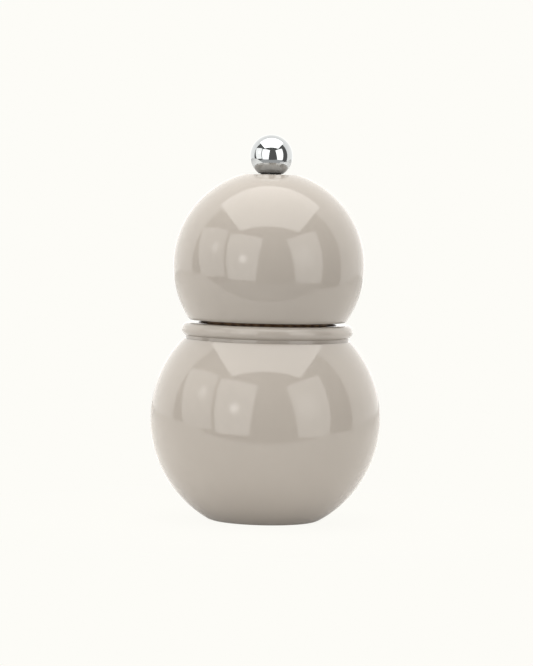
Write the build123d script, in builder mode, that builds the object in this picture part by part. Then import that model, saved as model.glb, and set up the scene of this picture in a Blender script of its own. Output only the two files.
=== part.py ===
"""Pepper mill: two turned and lacquered wooden balls, a chrome ball nut and a ceramic grinding set.

The frame is +Z up, with the origin at the centre of the flat base. Sizes are in millimetres.
Every piece is a separate solid. The pieces move as six bodies:
  the lower body with the fixed half of the grinder,
  the spring pack, which turns with the head,
  the spindle, which carries the rotor and rises or falls to set the grind,
  the head, which turns on the collar and lifts off along the shaft for filling,
  the nut washer, which lies on the head under the nut,
  the ball nut, which clamps the head and sets the grind.
"""

import os
from math import radians, sqrt, tan

from build123d import *

# ---------------------------------------------------------------- driving sizes

mill_height = 120.0

# lower body, turned from one blank
body_ball_radius = 35.8
body_ball_z = 31.6
base_edge_round = 4.0
ball_top_z = 56.3
neck_band_radius = 25.3
bead_ring_radius = 24.5
bead_radius = 2.1
collar_top_z = 61.3
mouth_radius = 17.0
mouth_chamfer = 0.6

# head, turned from one blank
head_ball_radius = 29.75
head_ball_z = 79.2
head_top_z = 107.6
head_under_z = 62.2
head_land_radius = 18.8
head_top_round = 1.2
head_under_round = 0.7
tenon_radius = 16.6
tenon_end_z = 52.0
tenon_chamfer = 0.8
shaft_bore_radius = 4.0

# clearance of pieces that sit snugly inside one another, such as a screw in its hole
fit_gap = 0.05

# ball nut and its washer
finial_radius = 6.65
nut_washer_thickness = 0.3
nut_washer_radius = 3.3
nut_washer_hole_radius = 2.6
nut_thread_radius = 2.45
nut_hole_depth = 8.6
drill_point_height = 1.0
nut_edge_round = 0.25

# shaft: square bar, its top end turned round for a fine thread
shaft_square = 4.8
shaft_corner_round = 0.5
shaft_thread_radius = 2.4
shaft_thread_start_z = 98.0
shaft_top_z = 115.6
shaft_foot_z = 4.4
shaft_end_chamfer = 0.5

# seat for the grinder in the base
recess_radius = 13.4
recess_depth = 3.4
grinder_bore_radius = 10.5
funnel_foot_z = 20.0

# grinder housing and its steel ring
ring_bottom_z = 0.9
ring_thickness = 0.8
ring_radius = 13.1
ring_hole_radius = 8.0
flange_radius = 13.2
barrel_radius = 10.3
barrel_wall = 1.0
stator_lip_radius = 8.2
stator_bottom_z = 2.5
stator_top_z = 12.0
key_count = 3
key_start_angle = 90.0
key_width = 1.6
key_depth = 0.5
key_root = 0.2

# grinding surfaces, as radius at a height
throat_z = 6.0
stator_mouth_radius = 8.3
stator_throat_radius = 6.5
stator_foot_radius = 7.2
rotor_foot_z = 2.2
rotor_foot_radius = 6.95
rotor_throat_radius = 6.25
rotor_top_radius = 5.1
rotor_hollow_radius = 4.75
rotor_hollow_top_z = 5.4
fine_groove_count = 28
fine_groove_width = 0.6
fine_groove_depth = 0.4
fine_groove_lean = 18.0
rotor_groove_top_z = 5.2
coarse_channel_count = 8
coarse_channel_width = 1.8
coarse_channel_depth = 0.8
coarse_channel_lean = 30.0
coarse_channel_foot_z = 7.2
cutter_overrun = 1.0
cutter_rise = 0.6

# bridge that snaps into the housing above the burrs and guides the shaft
bridge_rim_wall = 0.6
bridge_arm_bottom_z = 17.4
bridge_arm_width = 4.0
bridge_arm_root = 0.2
bridge_hub_radius = 4.5
bridge_hole_gap = 0.08

# drive hub in the rotor, spring and washers
hub_radius = 3.75
hub_flange_radius = 4.6
hub_flange_thickness = 1.0
spring_washer_thickness = 0.4
spring_washer_radius = 4.7
spring_washer_hole_gap = 0.2
spring_mean_radius = 4.0
spring_wire_radius = 0.3
spring_turns = 3.5
spring_seat_gap = 0.06
clip_thickness = 0.6
clip_radius = 4.2
clip_band_width = 1.0
clip_bite_radius = 2.6
clip_tooth_count = 3
clip_tooth_width = 1.8
clip_tooth_start_angle = 90.0
clip_groove_gap = 0.02
clip_gap = 1.3

# small screws, each with a cross recess in its head
cross_slot_width = 0.55
ring_screw_count = 3
ring_screw_start_angle = 30.0
ring_screw_circle_radius = 11.7
ring_screw_head_radius = 1.2
ring_screw_head_height = 0.6
ring_screw_shank_radius = 0.8
ring_screw_length = 8.0
ring_screw_point_length = 1.5
ring_screw_recess_radius = 0.9
ring_screw_recess_depth = 0.5
drive_screw_offset = 9.0
drive_screw_head_radius = 2.1
drive_screw_head_height = 1.3
drive_screw_head_round = 0.5
drive_screw_shank_radius = 1.2
drive_screw_length = 9.0
drive_screw_taper = 3.0
drive_screw_recess_radius = 1.2
drive_screw_recess_depth = 0.7
rotor_screw_head_radius = 2.5
rotor_screw_head_height = 1.4
rotor_screw_head_round = 0.6
rotor_screw_shank_radius = 1.45
rotor_screw_length = 7.5
rotor_screw_recess_radius = 1.4
rotor_screw_recess_depth = 0.8

# rotor washer and drive plate
rotor_washer_radius = 4.2
rotor_washer_thickness = 0.5
drive_plate_length = 27.0
drive_plate_width = 12.0
drive_plate_thickness = 1.5
drive_plate_square_gap = 0.1
drive_plate_hole_radius = 1.35

# ---------------------------------------------------------------- derived places

finial_centre_z = mill_height - finial_radius
nut_seat_z = head_top_z + nut_washer_thickness
bead_centre_z = collar_top_z - bead_radius
ring_top_z = ring_bottom_z + ring_thickness
barrel_bore_radius = barrel_radius - barrel_wall
barrel_top_z = funnel_foot_z
stator_radius = barrel_bore_radius - fit_gap
keyway_floor_radius = barrel_bore_radius - key_depth - fit_gap
lower_washer_top_z = stator_top_z + spring_washer_thickness
upper_washer_bottom_z = bridge_arm_bottom_z - spring_washer_thickness
plate_bottom_z = tenon_end_z - drive_plate_thickness
clip_bottom_z = barrel_top_z + clip_gap
rotor_washer_bottom_z = shaft_foot_z - rotor_washer_thickness
shaft_corner_radius = (shaft_square / 2 - shaft_corner_round) * sqrt(2) + shaft_corner_round
bridge_rim_radius = barrel_bore_radius - fit_gap
bridge_rim_inner_radius = bridge_rim_radius - bridge_rim_wall
bridge_hole_radius = shaft_corner_radius + bridge_hole_gap
spring_washer_hole_radius = shaft_corner_radius + spring_washer_hole_gap
hub_square = shaft_square + 2 * fit_gap
drive_plate_square = shaft_square + 2 * drive_plate_square_gap


def ball_radius_at(ball_radius, centre_z, z):
    """Radius of a ball's outline at the height z."""
    return sqrt(ball_radius**2 - (z - centre_z) ** 2)


def save(piece, name):
    """Labels a finished piece and writes its STEP file."""
    piece.part.label = name
    export_step(piece.part, f"parts/{name}.step")
    print(f"{name:24s} {piece.part.volume:9.1f} mm3")


def cross_recess(face_z, radius, depth):
    """A cross-shaped recess that reaches up into a screw head from its face at face_z."""
    with BuildPart() as recess:
        with BuildSketch(Plane.XY.offset(face_z)):
            Rectangle(2 * radius, cross_slot_width)
            Rectangle(cross_slot_width, 2 * radius)
        extrude(amount=depth)
    return recess.part


def groove_cutter(foot, top, lean, width, depth, outward):
    """A V-shaped bar that cuts one groove along a cone and leans round it as it rises.

    foot and top are the radius and height of the cone's surface at the groove's two ends. outward is 1
    for a groove in the outside of a cone and -1 for one in a bore."""
    foot_radius, foot_z = foot
    top_radius, top_z = top
    sideways = (top_z - foot_z) * tan(radians(lean))
    foot_point = Vector(foot_radius, 0, foot_z)
    top_point = Vector(sqrt(top_radius**2 - sideways**2), sideways, top_z)
    along = (top_point - foot_point).normalized()
    start = foot_point - along * cutter_overrun
    half_opening = width / 2 * (depth + cutter_rise) / depth
    with BuildPart() as bar:
        with BuildSketch(Plane(origin=start, x_dir=Vector(outward, 0, 0), z_dir=along)):
            with BuildLine():
                Polyline((-depth, 0), (cutter_rise, half_opening), (cutter_rise, -half_opening), close=True)
            make_face()
        extrude(amount=(top_point - foot_point).length + 2 * cutter_overrun)
    return bar.part


os.makedirs("parts", exist_ok=True)

# ---------------------------------------------------------------- lower body

base_corner_radius = ball_radius_at(body_ball_radius, body_ball_z, 0)
ball_top_radius = ball_radius_at(body_ball_radius, body_ball_z, ball_top_z)
bead_foot_z = bead_centre_z - sqrt(bead_radius**2 - (neck_band_radius - bead_ring_radius) ** 2)
funnel_top_z = funnel_foot_z + (mouth_radius - grinder_bore_radius)

with BuildPart() as body:
    with BuildSketch(Plane.XZ) as body_section:
        with BuildLine():
            Line((recess_radius, 0), (base_corner_radius, 0))
            ThreePointArc(
                (base_corner_radius, 0), (body_ball_radius, body_ball_z), (ball_top_radius, ball_top_z)
            )
            Polyline(
                (ball_top_radius, ball_top_z),
                (neck_band_radius, ball_top_z),
                (neck_band_radius, bead_foot_z),
            )
            ThreePointArc(
                (neck_band_radius, bead_foot_z),
                (bead_ring_radius + bead_radius, bead_centre_z),
                (bead_ring_radius, collar_top_z),
            )
            Polyline(
                (bead_ring_radius, collar_top_z),
                (mouth_radius + mouth_chamfer, collar_top_z),
                (mouth_radius, collar_top_z - mouth_chamfer),
                (mouth_radius, funnel_top_z),
                (grinder_bore_radius, funnel_foot_z),
                (grinder_bore_radius, recess_depth),
                (recess_radius, recess_depth),
                (recess_radius, 0),
            )
        make_face()
        base_corner = body_section.vertices().sort_by_distance((base_corner_radius, 0, 0))[0]
        fillet(base_corner, base_edge_round)
    revolve(axis=Axis.Z)
    with BuildSketch(Plane.XY.offset(recess_depth)):
        with PolarLocations(ring_screw_circle_radius, ring_screw_count, ring_screw_start_angle):
            Circle(ring_screw_shank_radius + fit_gap)
    extrude(amount=ring_screw_length, mode=Mode.SUBTRACT)
save(body, "body")

# ---------------------------------------------------------------- head

head_flat_radius = ball_radius_at(head_ball_radius, head_ball_z, head_top_z)
head_edge_radius = ball_radius_at(head_ball_radius, head_ball_z, head_under_z)

with BuildPart() as head:
    with BuildSketch(Plane.XZ) as head_section:
        with BuildLine():
            ThreePointArc(
                (head_flat_radius, head_top_z),
                (head_ball_radius, head_ball_z),
                (head_edge_radius, head_under_z),
            )
            Polyline(
                (head_edge_radius, head_under_z),
                (head_land_radius, head_under_z),
                (head_land_radius, collar_top_z),
                (tenon_radius, collar_top_z),
                (tenon_radius, tenon_end_z + tenon_chamfer),
                (tenon_radius - tenon_chamfer, tenon_end_z),
                (shaft_bore_radius, tenon_end_z),
                (shaft_bore_radius, head_top_z),
                (head_flat_radius, head_top_z),
            )
        make_face()
        top_corner = head_section.vertices().sort_by_distance((head_flat_radius, head_top_z, 0))[0]
        fillet(top_corner, head_top_round)
        under_corner = head_section.vertices().sort_by_distance((head_edge_radius, head_under_z, 0))[0]
        fillet(under_corner, head_under_round)
    revolve(axis=Axis.Z)
    with BuildSketch(Plane.XY.offset(tenon_end_z)):
        with GridLocations(2 * drive_screw_offset, 0, 2, 1):
            Circle(drive_screw_shank_radius + fit_gap)
    extrude(amount=drive_screw_length, mode=Mode.SUBTRACT)
save(head, "head")

# ---------------------------------------------------------------- ball nut and washer

nut_flat_radius = ball_radius_at(finial_radius, finial_centre_z, nut_seat_z)

with BuildPart() as ball_nut:
    with BuildSketch(Plane.XZ) as nut_section:
        with BuildLine():
            ThreePointArc(
                (nut_flat_radius, nut_seat_z), (finial_radius, finial_centre_z), (0, mill_height)
            )
            Polyline(
                (0, mill_height),
                (0, nut_seat_z + nut_hole_depth + drill_point_height),
                (nut_thread_radius, nut_seat_z + nut_hole_depth),
                (nut_thread_radius, nut_seat_z),
                (nut_flat_radius, nut_seat_z),
            )
        make_face()
        fillet(nut_section.vertices().sort_by_distance((nut_flat_radius, nut_seat_z, 0))[0], nut_edge_round)
    revolve(axis=Axis.Z)
save(ball_nut, "ball_nut")

with BuildPart() as nut_washer:
    with BuildSketch(Plane.XY.offset(head_top_z)):
        Circle(nut_washer_radius)
        Circle(nut_washer_hole_radius, mode=Mode.SUBTRACT)
    extrude(amount=nut_washer_thickness)
save(nut_washer, "nut_washer")

# ---------------------------------------------------------------- shaft and its clip

with BuildPart() as shaft:
    with BuildSketch(Plane.XY.offset(shaft_foot_z)):
        RectangleRounded(shaft_square, shaft_square, shaft_corner_round)
    extrude(amount=shaft_thread_start_z - shaft_foot_z)
    with BuildSketch(Plane.XY.offset(shaft_thread_start_z)):
        Circle(shaft_thread_radius)
    extrude(amount=shaft_top_z - shaft_thread_start_z)
    chamfer(shaft.edges().filter_by(GeomType.CIRCLE).sort_by(Axis.Z)[-1], shaft_end_chamfer)
    with BuildSketch(Plane.XY.offset(clip_bottom_z - clip_groove_gap)):
        Circle(clip_radius)
        Circle(clip_bite_radius - clip_groove_gap, mode=Mode.SUBTRACT)
    extrude(amount=clip_thickness + 2 * clip_groove_gap, mode=Mode.SUBTRACT)
    with BuildSketch(Plane.XY.offset(shaft_foot_z)):
        Circle(rotor_screw_shank_radius + fit_gap)
    extrude(amount=rotor_screw_length, mode=Mode.SUBTRACT)
save(shaft, "shaft")

clip_tooth_length = clip_radius - clip_bite_radius - clip_band_width / 2
clip_tooth_centre_radius = clip_bite_radius + clip_tooth_length / 2

with BuildPart() as shaft_clip:
    with BuildSketch(Plane.XY.offset(clip_bottom_z)):
        Circle(clip_radius)
        Circle(clip_radius - clip_band_width, mode=Mode.SUBTRACT)
        with PolarLocations(clip_tooth_centre_radius, clip_tooth_count, clip_tooth_start_angle):
            Rectangle(clip_tooth_length, clip_tooth_width)
        with Locations((0, -clip_radius)):
            Rectangle(2 * clip_bite_radius, 2 * clip_radius, mode=Mode.SUBTRACT)
        Circle(clip_bite_radius, mode=Mode.SUBTRACT)
    extrude(amount=clip_thickness)
save(shaft_clip, "shaft_clip")

# ---------------------------------------------------------------- drive plate under the tenon

with BuildPart() as drive_plate:
    with BuildSketch(Plane.XY.offset(plate_bottom_z)):
        SlotOverall(drive_plate_length, drive_plate_width)
        RectangleRounded(drive_plate_square, drive_plate_square, shaft_corner_round, mode=Mode.SUBTRACT)
        with GridLocations(2 * drive_screw_offset, 0, 2, 1):
            Circle(drive_plate_hole_radius, mode=Mode.SUBTRACT)
    extrude(amount=drive_plate_thickness)
save(drive_plate, "drive_plate")

drive_screw_face_z = plate_bottom_z - drive_screw_head_height
drive_screw_recess = cross_recess(drive_screw_face_z, drive_screw_recess_radius, drive_screw_recess_depth)

with BuildPart() as drive_screw:
    with BuildSketch(Plane.XY.offset(plate_bottom_z)):
        Circle(drive_screw_head_radius)
    extrude(amount=-drive_screw_head_height)
    fillet(drive_screw.edges().group_by(Axis.Z)[0], drive_screw_head_round)
    with BuildSketch(Plane.XY.offset(plate_bottom_z)):
        Circle(drive_screw_shank_radius)
    extrude(amount=drive_screw_length, taper=drive_screw_taper)
    add(drive_screw_recess, mode=Mode.SUBTRACT)

with BuildPart() as drive_plate_screws:
    with GridLocations(2 * drive_screw_offset, 0, 2, 1):
        add(drive_screw.part)
save(drive_plate_screws, "drive_plate_screws")

# ---------------------------------------------------------------- grinder housing

key_length = key_depth + key_root
key_centre_radius = barrel_bore_radius + key_root - key_length / 2

with BuildPart() as grinder_housing:
    with BuildSketch(Plane.XZ):
        with BuildLine():
            Polyline(
                (stator_lip_radius, ring_top_z),
                (flange_radius, ring_top_z),
                (flange_radius, recess_depth),
                (barrel_radius, recess_depth),
                (barrel_radius, barrel_top_z),
                (barrel_bore_radius, barrel_top_z),
                (barrel_bore_radius, stator_bottom_z),
                (stator_lip_radius, stator_bottom_z),
                close=True,
            )
        make_face()
    revolve(axis=Axis.Z)
    with BuildSketch(Plane.XY.offset(stator_bottom_z)):
        with PolarLocations(key_centre_radius, key_count, key_start_angle):
            Rectangle(key_length, key_width - 2 * fit_gap)
    extrude(amount=stator_top_z - stator_bottom_z)
    with BuildSketch(Plane.XY.offset(ring_top_z)):
        with PolarLocations(ring_screw_circle_radius, ring_screw_count, ring_screw_start_angle):
            Circle(ring_screw_shank_radius + 2 * fit_gap)
    extrude(amount=recess_depth - ring_top_z, mode=Mode.SUBTRACT)
save(grinder_housing, "grinder_housing")

# ---------------------------------------------------------------- steel ring and its screws

with BuildPart() as retaining_ring:
    with BuildSketch(Plane.XY.offset(ring_bottom_z)):
        Circle(ring_radius)
        Circle(ring_hole_radius, mode=Mode.SUBTRACT)
    extrude(amount=ring_thickness)
    with BuildSketch(Plane.XZ):
        with BuildLine():
            Polyline(
                (0, ring_bottom_z),
                (ring_screw_head_radius + fit_gap, ring_bottom_z),
                (ring_screw_shank_radius + fit_gap, ring_bottom_z + ring_screw_head_height),
                (ring_screw_shank_radius + fit_gap, ring_top_z),
                (0, ring_top_z),
                close=True,
            )
        make_face()
    seat_cutter = revolve(axis=Axis.Z, mode=Mode.PRIVATE)
    with PolarLocations(ring_screw_circle_radius, ring_screw_count, ring_screw_start_angle):
        add(seat_cutter, mode=Mode.SUBTRACT)
save(retaining_ring, "retaining_ring")

ring_screw_recess = cross_recess(ring_bottom_z, ring_screw_recess_radius, ring_screw_recess_depth)

with BuildPart() as ring_screw:
    with BuildSketch(Plane.XZ):
        with BuildLine():
            Polyline(
                (0, ring_bottom_z),
                (ring_screw_head_radius, ring_bottom_z),
                (ring_screw_shank_radius, ring_bottom_z + ring_screw_head_height),
                (ring_screw_shank_radius, ring_bottom_z + ring_screw_length - ring_screw_point_length),
                (0, ring_bottom_z + ring_screw_length),
                close=True,
            )
        make_face()
    revolve(axis=Axis.Z)
    add(ring_screw_recess, mode=Mode.SUBTRACT)

with BuildPart() as retaining_ring_screws:
    with PolarLocations(ring_screw_circle_radius, ring_screw_count, ring_screw_start_angle):
        add(ring_screw.part)
save(retaining_ring_screws, "retaining_ring_screws")

# ---------------------------------------------------------------- ceramic stator

stator_groove = groove_cutter(
    (stator_foot_radius, stator_bottom_z),
    (stator_throat_radius, throat_z),
    -fine_groove_lean,
    fine_groove_width,
    fine_groove_depth,
    outward=-1,
)
keyway_length = stator_radius - keyway_floor_radius + cutter_overrun

with BuildPart() as stator:
    with BuildSketch(Plane.XZ):
        with BuildLine():
            Polyline(
                (stator_foot_radius, stator_bottom_z),
                (stator_radius, stator_bottom_z),
                (stator_radius, stator_top_z),
                (stator_mouth_radius, stator_top_z),
                (stator_throat_radius, throat_z),
                close=True,
            )
        make_face()
    revolve(axis=Axis.Z)
    with BuildSketch(Plane.XY.offset(stator_bottom_z)):
        with PolarLocations(keyway_floor_radius + keyway_length / 2, key_count, key_start_angle):
            Rectangle(keyway_length, key_width)
    extrude(amount=stator_top_z - stator_bottom_z, mode=Mode.SUBTRACT)
    with PolarLocations(0, fine_groove_count):
        add(stator_groove, mode=Mode.SUBTRACT)
save(stator, "stator")

# ---------------------------------------------------------------- ceramic rotor

rotor_groove = groove_cutter(
    (rotor_foot_radius, rotor_foot_z),
    (rotor_throat_radius, rotor_groove_top_z),
    fine_groove_lean,
    fine_groove_width,
    fine_groove_depth,
    outward=1,
)
rotor_channel = groove_cutter(
    (rotor_throat_radius, coarse_channel_foot_z),
    (rotor_top_radius, stator_top_z),
    -coarse_channel_lean,
    coarse_channel_width,
    coarse_channel_depth,
    outward=1,
)

with BuildPart() as rotor:
    with BuildSketch(Plane.XZ):
        with BuildLine():
            Polyline(
                (rotor_hollow_radius, rotor_foot_z),
                (rotor_foot_radius, rotor_foot_z),
                (rotor_throat_radius, throat_z),
                (rotor_top_radius, stator_top_z),
                (hub_radius, stator_top_z),
                (hub_radius, rotor_hollow_top_z),
                (rotor_hollow_radius, rotor_hollow_top_z),
                close=True,
            )
        make_face()
    revolve(axis=Axis.Z)
    with PolarLocations(0, fine_groove_count):
        add(rotor_groove, mode=Mode.SUBTRACT)
    with PolarLocations(0, coarse_channel_count):
        add(rotor_channel, mode=Mode.SUBTRACT)
save(rotor, "rotor")

with BuildPart() as rotor_hub:
    with BuildSketch(Plane.XY.offset(shaft_foot_z)):
        Circle(hub_flange_radius)
    extrude(amount=hub_flange_thickness)
    with BuildSketch(Plane.XY.offset(shaft_foot_z)):
        Circle(hub_radius)
    extrude(amount=stator_top_z - shaft_foot_z)
    with BuildSketch(Plane.XY.offset(shaft_foot_z)):
        RectangleRounded(hub_square, hub_square, shaft_corner_round)
    extrude(amount=stator_top_z - shaft_foot_z, mode=Mode.SUBTRACT)
save(rotor_hub, "rotor_hub")

with BuildPart() as rotor_washer:
    with BuildSketch(Plane.XY.offset(rotor_washer_bottom_z)):
        Circle(rotor_washer_radius)
        Circle(rotor_screw_shank_radius + 2 * fit_gap, mode=Mode.SUBTRACT)
    extrude(amount=rotor_washer_thickness)
save(rotor_washer, "rotor_washer")

rotor_screw_face_z = rotor_washer_bottom_z - rotor_screw_head_height
rotor_screw_recess = cross_recess(rotor_screw_face_z, rotor_screw_recess_radius, rotor_screw_recess_depth)

with BuildPart() as rotor_screw:
    with BuildSketch(Plane.XY.offset(rotor_washer_bottom_z)):
        Circle(rotor_screw_head_radius)
    extrude(amount=-rotor_screw_head_height)
    fillet(rotor_screw.edges().group_by(Axis.Z)[0], rotor_screw_head_round)
    with BuildSketch(Plane.XY.offset(rotor_washer_bottom_z)):
        Circle(rotor_screw_shank_radius)
    extrude(amount=rotor_screw_length)
    add(rotor_screw_recess, mode=Mode.SUBTRACT)
save(rotor_screw, "rotor_screw")

# ---------------------------------------------------------------- bridge, spring and spring washers

with BuildPart() as grinder_bridge:
    with BuildSketch(Plane.XY.offset(stator_top_z)):
        Circle(bridge_rim_radius)
        Circle(bridge_rim_inner_radius, mode=Mode.SUBTRACT)
    extrude(amount=barrel_top_z - stator_top_z)
    with BuildSketch(Plane.XY.offset(bridge_arm_bottom_z)):
        Rectangle(bridge_arm_width, 2 * (bridge_rim_inner_radius + bridge_arm_root))
        Circle(bridge_hub_radius)
        Circle(bridge_hole_radius, mode=Mode.SUBTRACT)
    extrude(amount=barrel_top_z - bridge_arm_bottom_z)
save(grinder_bridge, "grinder_bridge")

for washer_name, washer_z in (
    ("lower_spring_washer", stator_top_z),
    ("upper_spring_washer", upper_washer_bottom_z),
):
    with BuildPart() as spring_washer:
        with BuildSketch(Plane.XY.offset(washer_z)):
            Circle(spring_washer_radius)
            Circle(spring_washer_hole_radius, mode=Mode.SUBTRACT)
        extrude(amount=spring_washer_thickness)
    save(spring_washer, washer_name)

spring_end_gap = spring_wire_radius + spring_seat_gap
spring_start_z = lower_washer_top_z + spring_end_gap
spring_rise = upper_washer_bottom_z - spring_end_gap - spring_start_z

with BuildPart() as spring:
    with BuildLine() as coil:
        Helix(
            pitch=spring_rise / spring_turns,
            height=spring_rise,
            radius=spring_mean_radius,
            center=(0, 0, spring_start_z),
        )
    with BuildSketch(Plane(origin=coil.line @ 0, z_dir=coil.line % 0)):
        Circle(spring_wire_radius)
    sweep(is_frenet=True)
save(spring, "spring")
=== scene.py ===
# %% [markdown]
# # A lacquered pepper mill
#
# The mill is two turned wooden balls under a thick gloss lacquer, with a chrome ball nut on top and a
# ceramic grinding set in the base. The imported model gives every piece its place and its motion. This
# lesson remakes the pieces whose smoothness or thread a CAD mesh can't show, and gives every piece a
# finish that is worked out from noise and geometry, with no pictures.

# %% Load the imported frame
from math import asin, ceil, cos, pi, radians, sin, sqrt

import bpy
from mathutils import Euler, Matrix, Vector


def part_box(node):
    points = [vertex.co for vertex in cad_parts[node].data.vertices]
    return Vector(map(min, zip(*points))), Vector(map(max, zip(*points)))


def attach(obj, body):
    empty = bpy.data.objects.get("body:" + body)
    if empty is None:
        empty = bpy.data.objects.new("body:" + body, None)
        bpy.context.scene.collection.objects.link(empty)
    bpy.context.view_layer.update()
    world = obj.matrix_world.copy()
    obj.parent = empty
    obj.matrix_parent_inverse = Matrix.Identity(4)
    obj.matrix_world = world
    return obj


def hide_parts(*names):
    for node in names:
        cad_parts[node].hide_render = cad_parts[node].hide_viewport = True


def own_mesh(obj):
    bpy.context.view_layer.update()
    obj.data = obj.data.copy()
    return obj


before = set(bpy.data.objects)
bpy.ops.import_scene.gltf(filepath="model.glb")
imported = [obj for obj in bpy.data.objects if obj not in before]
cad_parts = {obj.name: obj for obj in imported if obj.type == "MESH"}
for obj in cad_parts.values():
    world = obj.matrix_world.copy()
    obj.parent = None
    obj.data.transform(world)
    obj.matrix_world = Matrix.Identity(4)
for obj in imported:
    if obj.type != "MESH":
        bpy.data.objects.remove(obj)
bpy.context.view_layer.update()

# %% [markdown]
# ## Measures
#
# Everything is in metres, because that is what the frame uses. The large sizes are read from the boxes
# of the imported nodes, so the skins made here sit exactly where the solids are. The small ones, such as a
# fillet, are written down once here.

# %% Measures
MM = 0.001

body_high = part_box("body")[1]
head_low, head_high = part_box("head")
nut_low, nut_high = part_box("ball_nut")
shaft_low, shaft_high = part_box("shaft")
housing_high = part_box("grinder_housing")[1]
spring_low, spring_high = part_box("spring")

collar_top = body_high.z
body_ball_radius = body_high.x
body_ball_height = 31.6 * MM
ball_shoulder = 56.3 * MM
neck_radius = 25.3 * MM
bead_ring_radius = 24.5 * MM
bead_radius = 2.1 * MM
mouth_radius = 17.0 * MM
mouth_chamfer = 0.6 * MM
recess_radius = 13.4 * MM
recess_depth = 3.4 * MM
grinder_bore_radius = 10.5 * MM
funnel_foot = housing_high.z
base_edge_round = 4.0 * MM
collar_lacquer_edge_radius = 21.5 * MM

head_ball_radius = head_high.x
head_ball_height = 79.2 * MM
head_top = head_high.z
head_underside = 62.2 * MM
head_land_radius = 18.8 * MM
tenon_radius = 16.6 * MM
tenon_end = head_low.z
tenon_chamfer = 0.8 * MM
shaft_bore_radius = 4.0 * MM
head_top_round = 1.2 * MM
head_under_round = 0.7 * MM
head_lacquer_edge_radius = 22.8 * MM

nut_radius = nut_high.x
nut_seat = nut_low.z
nut_hole_radius = 2.45 * MM
nut_hole_depth = 8.6 * MM
nut_drill_point = 1.0 * MM
nut_edge_round = 0.25 * MM

shaft_foot = shaft_low.z
shaft_top = shaft_high.z
shaft_square = shaft_high.x - shaft_low.x
shaft_corner_round = 0.5 * MM
shaft_end_chamfer = 0.5 * MM
thread_radius = 2.4 * MM
thread_pitch = 0.8 * MM
thread_depth = 0.45 * MM
thread_flat_share = 0.15
thread_start = 98.0 * MM
relief_height = 0.5 * MM
clip_groove_foot = 21.28 * MM
clip_groove_height = 0.64 * MM
clip_groove_radius = 2.58 * MM
foot_hole_radius = 1.5 * MM
foot_hole_depth = 7.5 * MM

spring_wire_radius = 0.3 * MM
spring_turns = 3.5

# %% [markdown]
# ## Material helpers
#
# A finish is a small node tree. These helpers keep each one to a few lines: one starts a material with
# its shader, one places a noise, one turns a value into a colour or a number, and one turns a value into
# bump. Patterns read Object coordinates in metres, so a scale of 1000 gives features of a millimetre.

# %% Material helpers
def start_material(name):
    """A new node material: returns it, its shader, and its coordinates in metres."""
    material = bpy.data.materials.new(name)
    material.use_nodes = True
    shader = material.node_tree.nodes["Principled BSDF"]
    coordinates = material.node_tree.nodes.new("ShaderNodeTexCoord").outputs["Object"]
    return material, shader, coordinates


def add_node(material, kind, **settings):
    """Adds a node and sets its properties."""
    node = material.node_tree.nodes.new(kind)
    for name, value in settings.items():
        setattr(node, name, value)
    return node


def join(material, output, socket):
    material.node_tree.links.new(output, socket)


def stretched(material, coordinates, scale):
    """Coordinates scaled apart along the three axes, for grain and brushing."""
    mapping = add_node(material, "ShaderNodeMapping")
    mapping.inputs["Scale"].default_value = scale
    join(material, coordinates, mapping.inputs["Vector"])
    return mapping.outputs["Vector"]


def noise(material, coordinates, scale, detail=2.0, roughness=0.5):
    texture = add_node(material, "ShaderNodeTexNoise")
    texture.inputs["Scale"].default_value = scale
    texture.inputs["Detail"].default_value = detail
    texture.inputs["Roughness"].default_value = roughness
    join(material, coordinates, texture.inputs["Vector"])
    return texture.outputs["Fac"]


def colours(material, value, stops):
    """A colour ramp through (position, rgb) stops."""
    ramp = add_node(material, "ShaderNodeValToRGB")
    elements = ramp.color_ramp.elements
    while len(elements) < len(stops):
        elements.new(0.5)
    for element, (position, rgb) in zip(elements, stops):
        element.position = position
        element.color = (*rgb, 1.0)
    join(material, value, ramp.inputs["Fac"])
    return ramp.outputs["Color"]


def spread(material, value, low, high, low_in=0.3, high_in=0.7):
    """Maps a noise's useful range onto low..high."""
    ranged = add_node(material, "ShaderNodeMapRange")
    ranged.inputs["From Min"].default_value = low_in
    ranged.inputs["From Max"].default_value = high_in
    ranged.inputs["To Min"].default_value = low
    ranged.inputs["To Max"].default_value = high
    join(material, value, ranged.inputs["Value"])
    return ranged.outputs["Result"]


def bump(material, height, depth, strength=1.0, under=None):
    """Bump of the given depth in metres, over an earlier bump if there is one."""
    node = add_node(material, "ShaderNodeBump")
    node.inputs["Strength"].default_value = strength
    node.inputs["Distance"].default_value = depth
    join(material, height, node.inputs["Height"])
    if under is not None:
        join(material, under, node.inputs["Normal"])
    return node.outputs["Normal"]


def distance_from_axis(material, coordinates):
    """How far a point is from the turning axis, in metres."""
    flat = stretched(material, coordinates, (1, 1, 0))
    length = add_node(material, "ShaderNodeVectorMath", operation="LENGTH")
    join(material, flat, length.inputs[0])
    return length.outputs["Value"]


# %% [markdown]
# ## Lacquer
#
# The balls are sprayed, flatted and sprayed again until the wood's pores are gone. What is left is a
# warm grey paint under a hard mirror gloss. Two things keep it from looking like plastic: a very shallow
# orange peel, about a millimetre wide, that wobbles the edges of reflections, and a cloudiness of the
# colour so faint that it is felt more than seen. A clear coat over a matt base would also work. One
# smooth shader layer was chosen, because it exports with nothing lost.

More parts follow.
